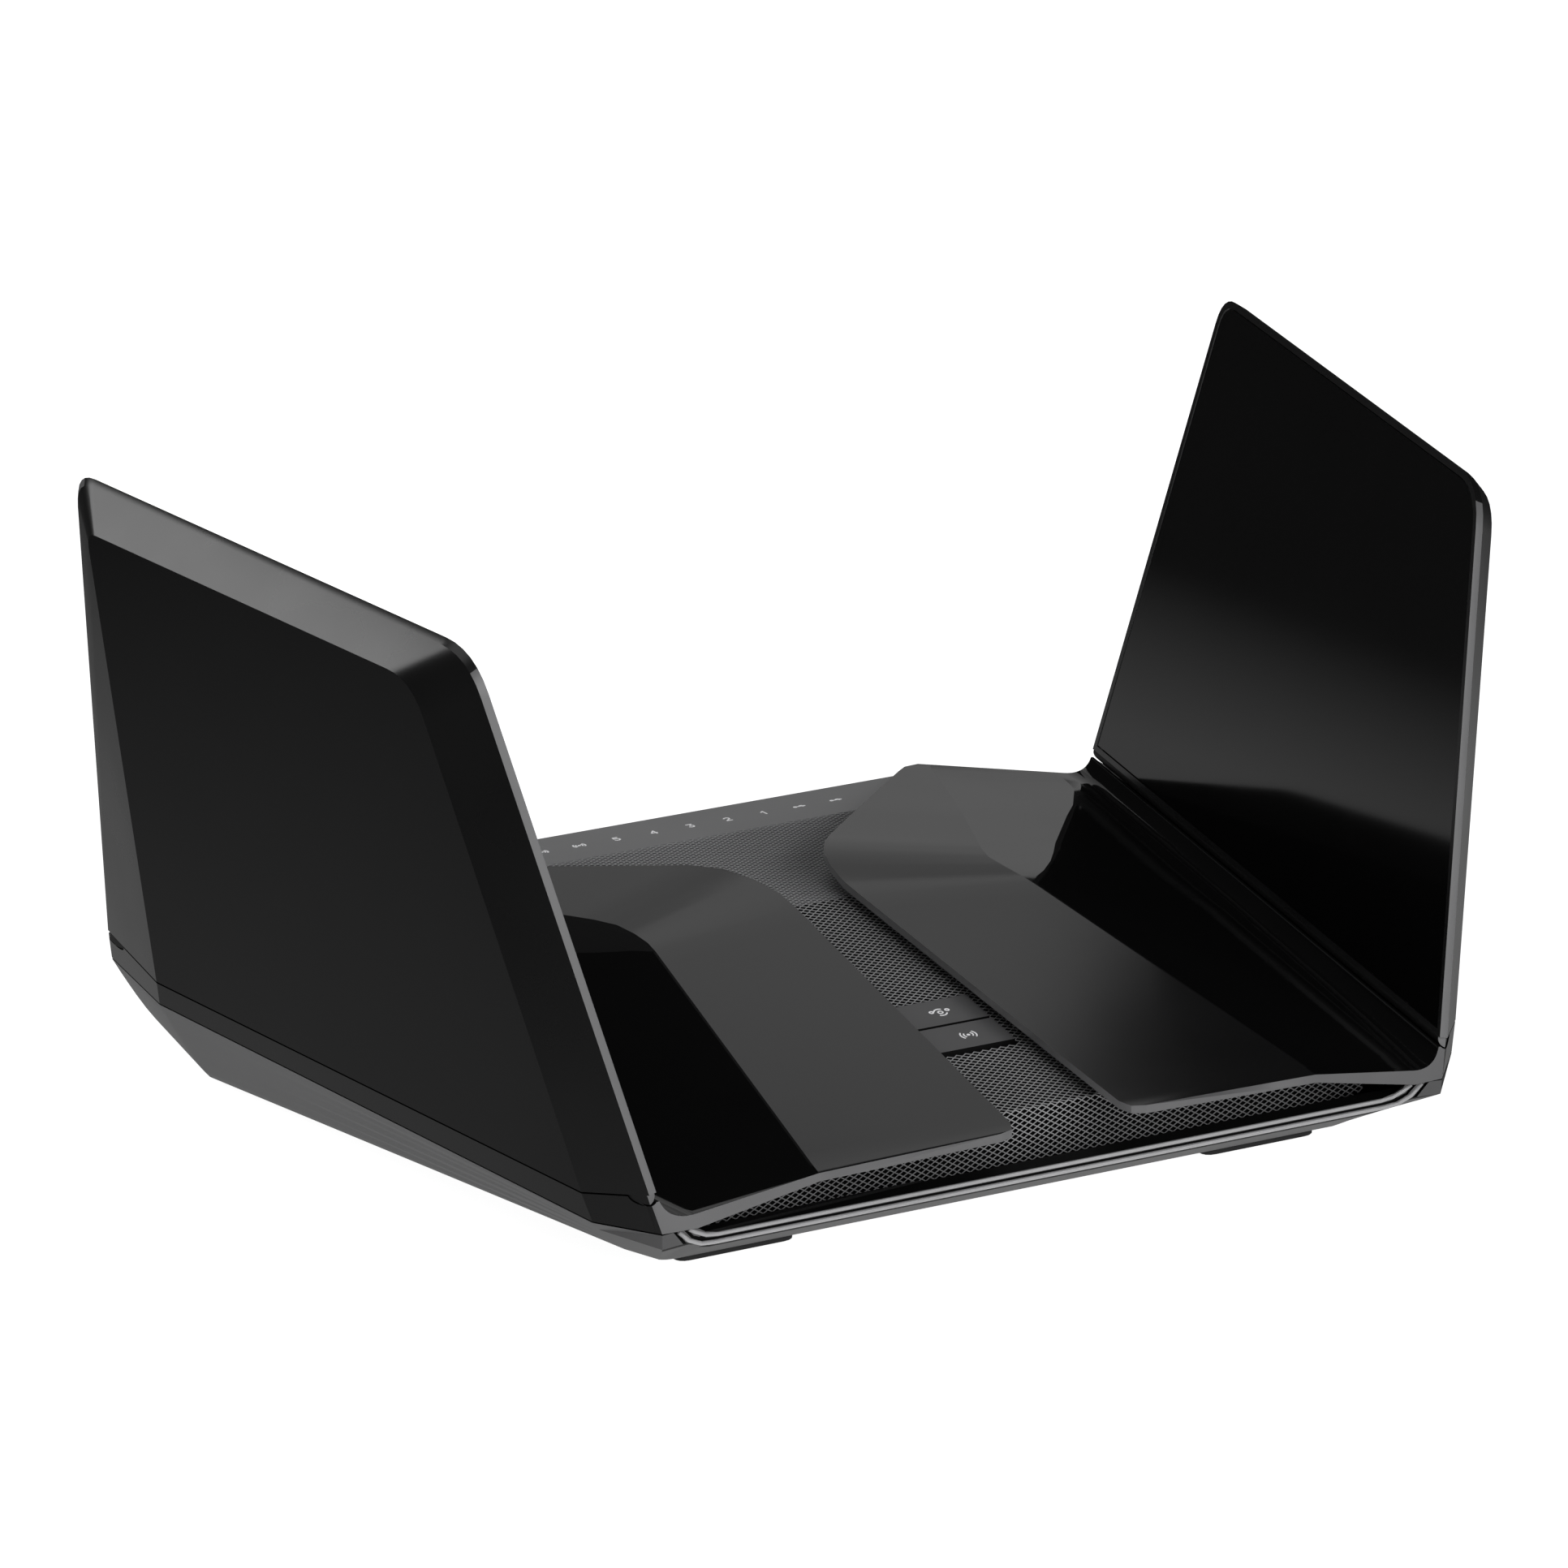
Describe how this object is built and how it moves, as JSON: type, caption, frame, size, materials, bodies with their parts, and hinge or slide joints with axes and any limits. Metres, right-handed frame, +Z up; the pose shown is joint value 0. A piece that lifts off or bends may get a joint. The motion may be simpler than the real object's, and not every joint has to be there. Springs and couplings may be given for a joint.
{
  "type": "wireless router",
  "caption": "Low black wireless router with a faceted body, a fine mesh top and front, and two flat antenna wings that fold in from the sides.",
  "frame": {"origin": "on the table under the middle of the router with its wings open", "axes": "+X to the router's right as seen from the front, -Y towards the front, +Z up"},
  "size_m": [0.297, 0.2086, 0.1414],
  "materials": {
    "wing_shell_gloss_black": "gloss",
    "wing_panel_gloss_black": "high gloss",
    "side_cover_black": "gloss",
    "housing_dark_grey": "satin",
    "foot_rubber": "matte",
    "grille_black": "fine perforated",
    "status_strip_grey": "satin",
    "top_button_grey": "satin",
    "rear_button_grey": "satin",
    "connector_panel_black": "satin",
    "connector_black": "gloss",
    "usb_steel": "satin",
    "light_guide_clear": "clear",
    "label_white": "matte",
    "circuit_board_green": "satin",
    "heatsink_aluminium": "satin",
    "shield_steel": "satin",
    "fastener_steel": "satin"
  },
  "bodies": {
    "chassis": {"board_screw_1": "fastener_steel", "board_screw_2": "fastener_steel", "board_screw_3": "fastener_steel", "board_screw_4": "fastener_steel", "bottom_housing": "housing_dark_grey", "button_board": "circuit_board_green", "dc_inlet": "connector_black", "ethernet_jack_1": "connector_black", "ethernet_jack_2": "connector_black", "ethernet_jack_3": "connector_black", "ethernet_jack_4": "connector_black", "ethernet_jack_5": "connector_black", "ethernet_jack_6": "connector_black", "front_left_foot": "foot_rubber", "front_right_foot": "foot_rubber", "heatsink": "heatsink_aluminium", "left_hinge_pin": "fastener_steel", "left_radio_shield": "shield_steel", "left_side_cover": "side_cover_black", "light_guide": "light_guide_clear", "lower_usb_socket": "usb_steel", "main_board": "circuit_board_green", "mesh_grille": "grille_black", "rating_label": "label_white", "rear_connector_panel": "connector_panel_black", "rear_left_foot": "foot_rubber", "rear_right_foot": "foot_rubber", "right_hinge_pin": "fastener_steel", "right_radio_shield": "shield_steel", "right_side_cover": "side_cover_black", "status_strip": "status_strip_grey", "upper_usb_socket": "usb_steel"},
    "left_wing": {"left_wing_shell": "wing_shell_gloss_black", "left_wing_inner_panel": "wing_panel_gloss_black", "left_front_antenna_board": "circuit_board_green", "left_rear_antenna_board": "circuit_board_green"},
    "right_wing": {"right_wing_shell": "wing_shell_gloss_black", "right_wing_inner_panel": "wing_panel_gloss_black", "right_front_antenna_board": "circuit_board_green", "right_rear_antenna_board": "circuit_board_green"},
    "wps_key": {"wps_button": "top_button_grey"},
    "wifi_key": {"wifi_button": "top_button_grey"},
    "power_key": {"power_button": "rear_button_grey"},
    "reset_key": {"reset_button": "rear_button_grey"},
    "led_slider": {"led_switch": "rear_button_grey"}
  },
  "joints": [
    {"name": "left_wing_fold", "type": "hinge", "parent": "chassis", "child": "left_wing", "pos_m": [-0.11197, 0.00183, 0.02614], "axis": [-0.1537, 0.9881, 0], "range_deg": [0, 73]},
    {"name": "right_wing_fold", "type": "hinge", "parent": "chassis", "child": "right_wing", "pos_m": [0.11197, 0.00183, 0.02614], "axis": [-0.1537, -0.9881, 0], "range_deg": [0, 73]},
    {"name": "wps_press", "type": "slide", "parent": "chassis", "child": "wps_key", "axis": [0, 0, -1], "range_m": [0, 0.0008], "stiffness_N_per_m": 600, "springref_m": -0.001},
    {"name": "wifi_press", "type": "slide", "parent": "chassis", "child": "wifi_key", "axis": [0, 0, -1], "range_m": [0, 0.0008], "stiffness_N_per_m": 600, "springref_m": -0.001},
    {"name": "power_press", "type": "slide", "parent": "chassis", "child": "power_key", "axis": [0, -1, 0], "range_m": [0, 0.0013], "stiffness_N_per_m": 600, "springref_m": -0.001},
    {"name": "reset_press", "type": "slide", "parent": "chassis", "child": "reset_key", "axis": [0, -1, 0], "range_m": [0, 0.0008], "stiffness_N_per_m": 600, "springref_m": -0.001},
    {"name": "led_switch_slide", "type": "slide", "parent": "chassis", "child": "led_slider", "axis": [1, 0, 0], "range_m": [0, 0.003]}
  ]
}
